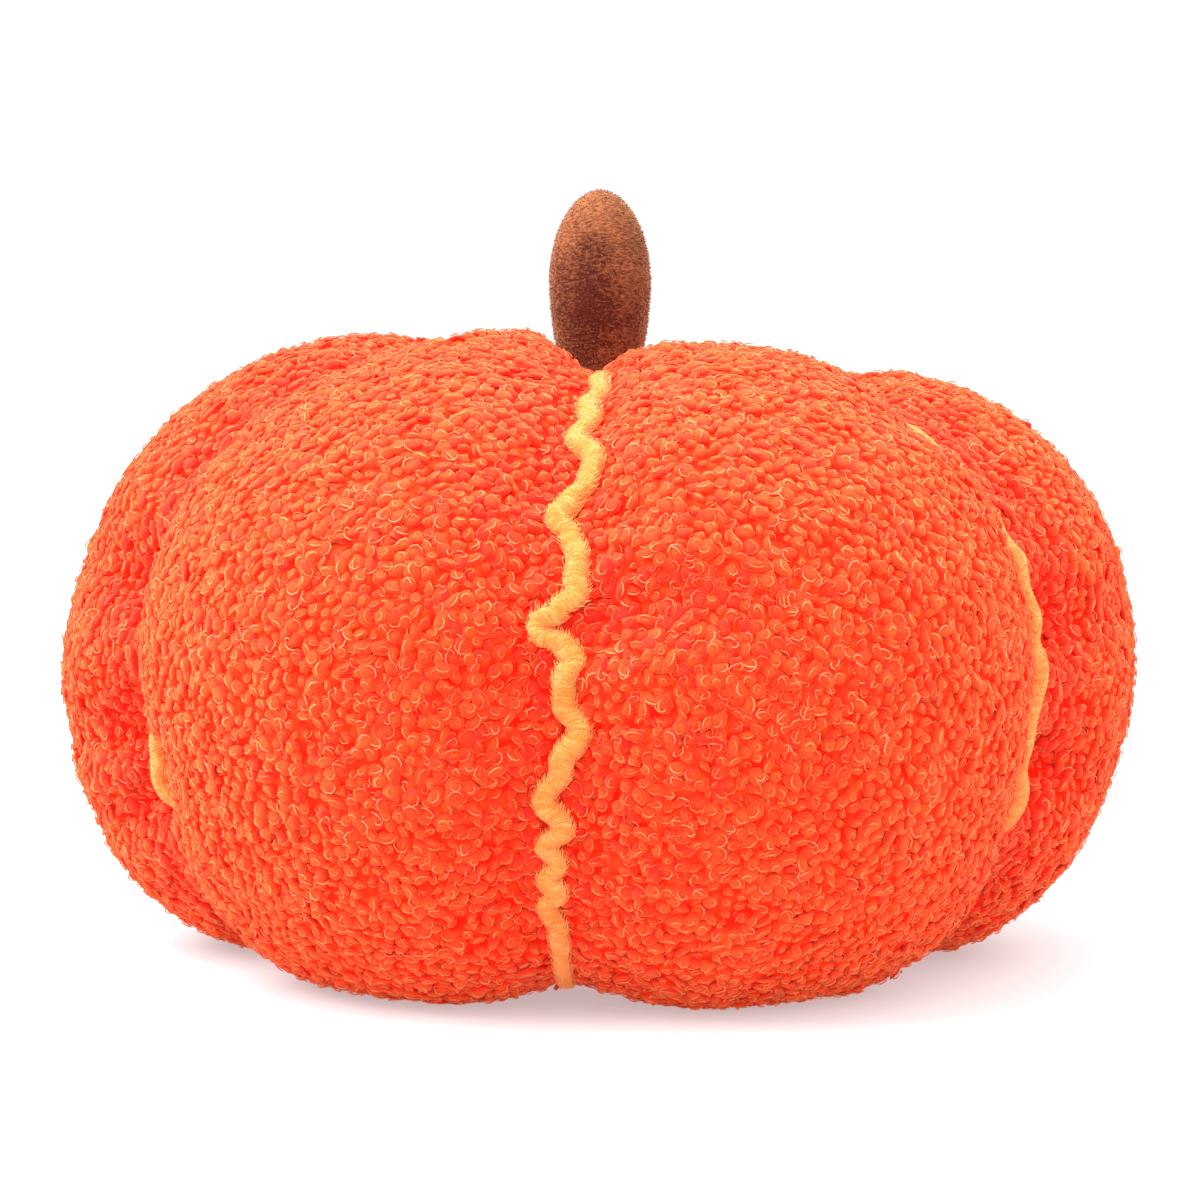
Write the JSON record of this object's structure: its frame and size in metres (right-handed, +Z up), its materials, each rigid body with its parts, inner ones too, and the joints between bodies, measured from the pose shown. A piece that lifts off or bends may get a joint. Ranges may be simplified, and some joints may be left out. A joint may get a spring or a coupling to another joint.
{
  "type": "pumpkin cushion",
  "caption": "Round filled floor cushion in the shape of a ribbed pumpkin, with sewn gores of curly pile, plush piping in the seams and a stuffed stem.",
  "frame": {"origin": "on the surface it stands on, under the middle of its box", "axes": "+Z up along the stem, -Y the front with the front seam, +X to the right of it"},
  "size_m": [0.405, 0.3836, 0.288],
  "materials": {
    "sherpa": "coral orange curly sherpa pile, loops 4 to 6 mm across",
    "plush_piping": "yellow folded plush, pile about 1.5 mm",
    "velour": "brown short-pile velour"
  },
  "bodies": {
    "root": {"cushion": "sherpa", "stem": "velour", "piping_front": "plush_piping", "piping_right": "plush_piping", "piping_back_right": "plush_piping", "piping_back": "plush_piping", "piping_back_left": "plush_piping", "piping_left": "plush_piping"}
  },
  "joints": []
}
